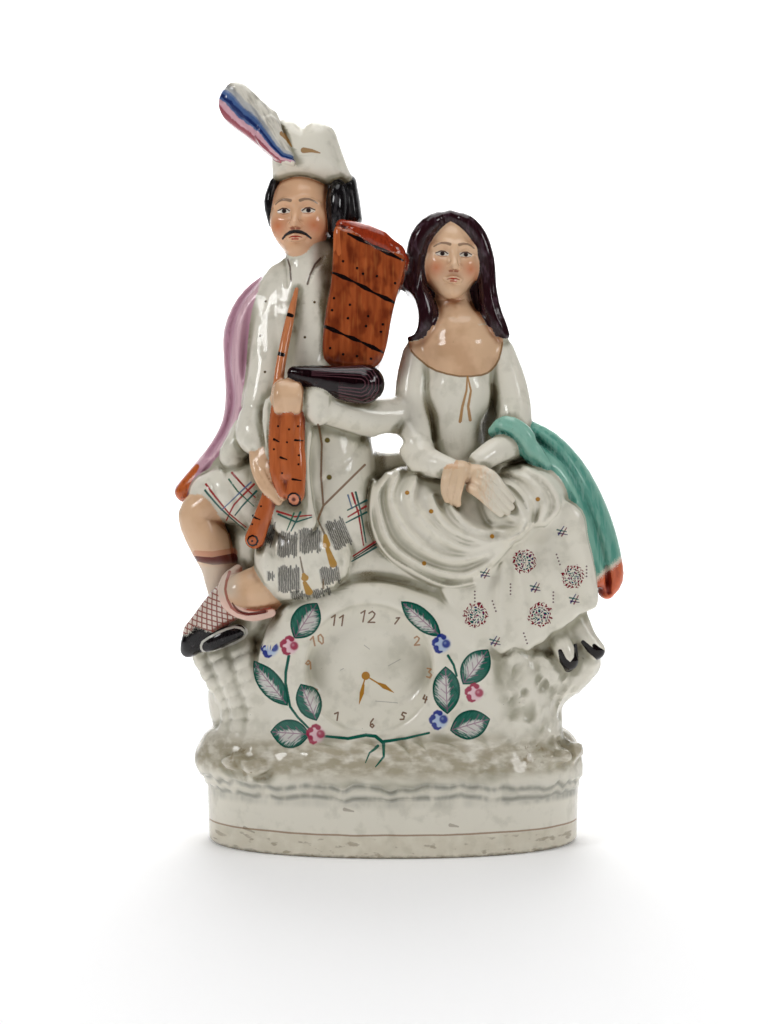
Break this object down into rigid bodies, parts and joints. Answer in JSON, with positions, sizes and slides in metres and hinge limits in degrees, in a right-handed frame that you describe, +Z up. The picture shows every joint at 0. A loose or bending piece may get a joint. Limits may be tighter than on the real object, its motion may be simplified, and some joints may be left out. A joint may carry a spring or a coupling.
{
  "type": "staffordshire figure",
  "caption": "Flat-backed glazed earthenware chimney ornament: a seated Highland piper and companion above a painted clock face, on an oval rocky base.",
  "frame": {"origin": "middle of the flat underside of the base, on the surface the ornament stands on", "axes": "+Z up, +X to the right of someone looking at the painted front, -Y out of the front, +Y out of the plain back"},
  "size_m": [0.21, 0.0822, 0.3505],
  "materials": {
    "glazed_earthenware": "gloss"
  },
  "bodies": {
    "root": {"figure_group": "glazed_earthenware"}
  },
  "joints": []
}
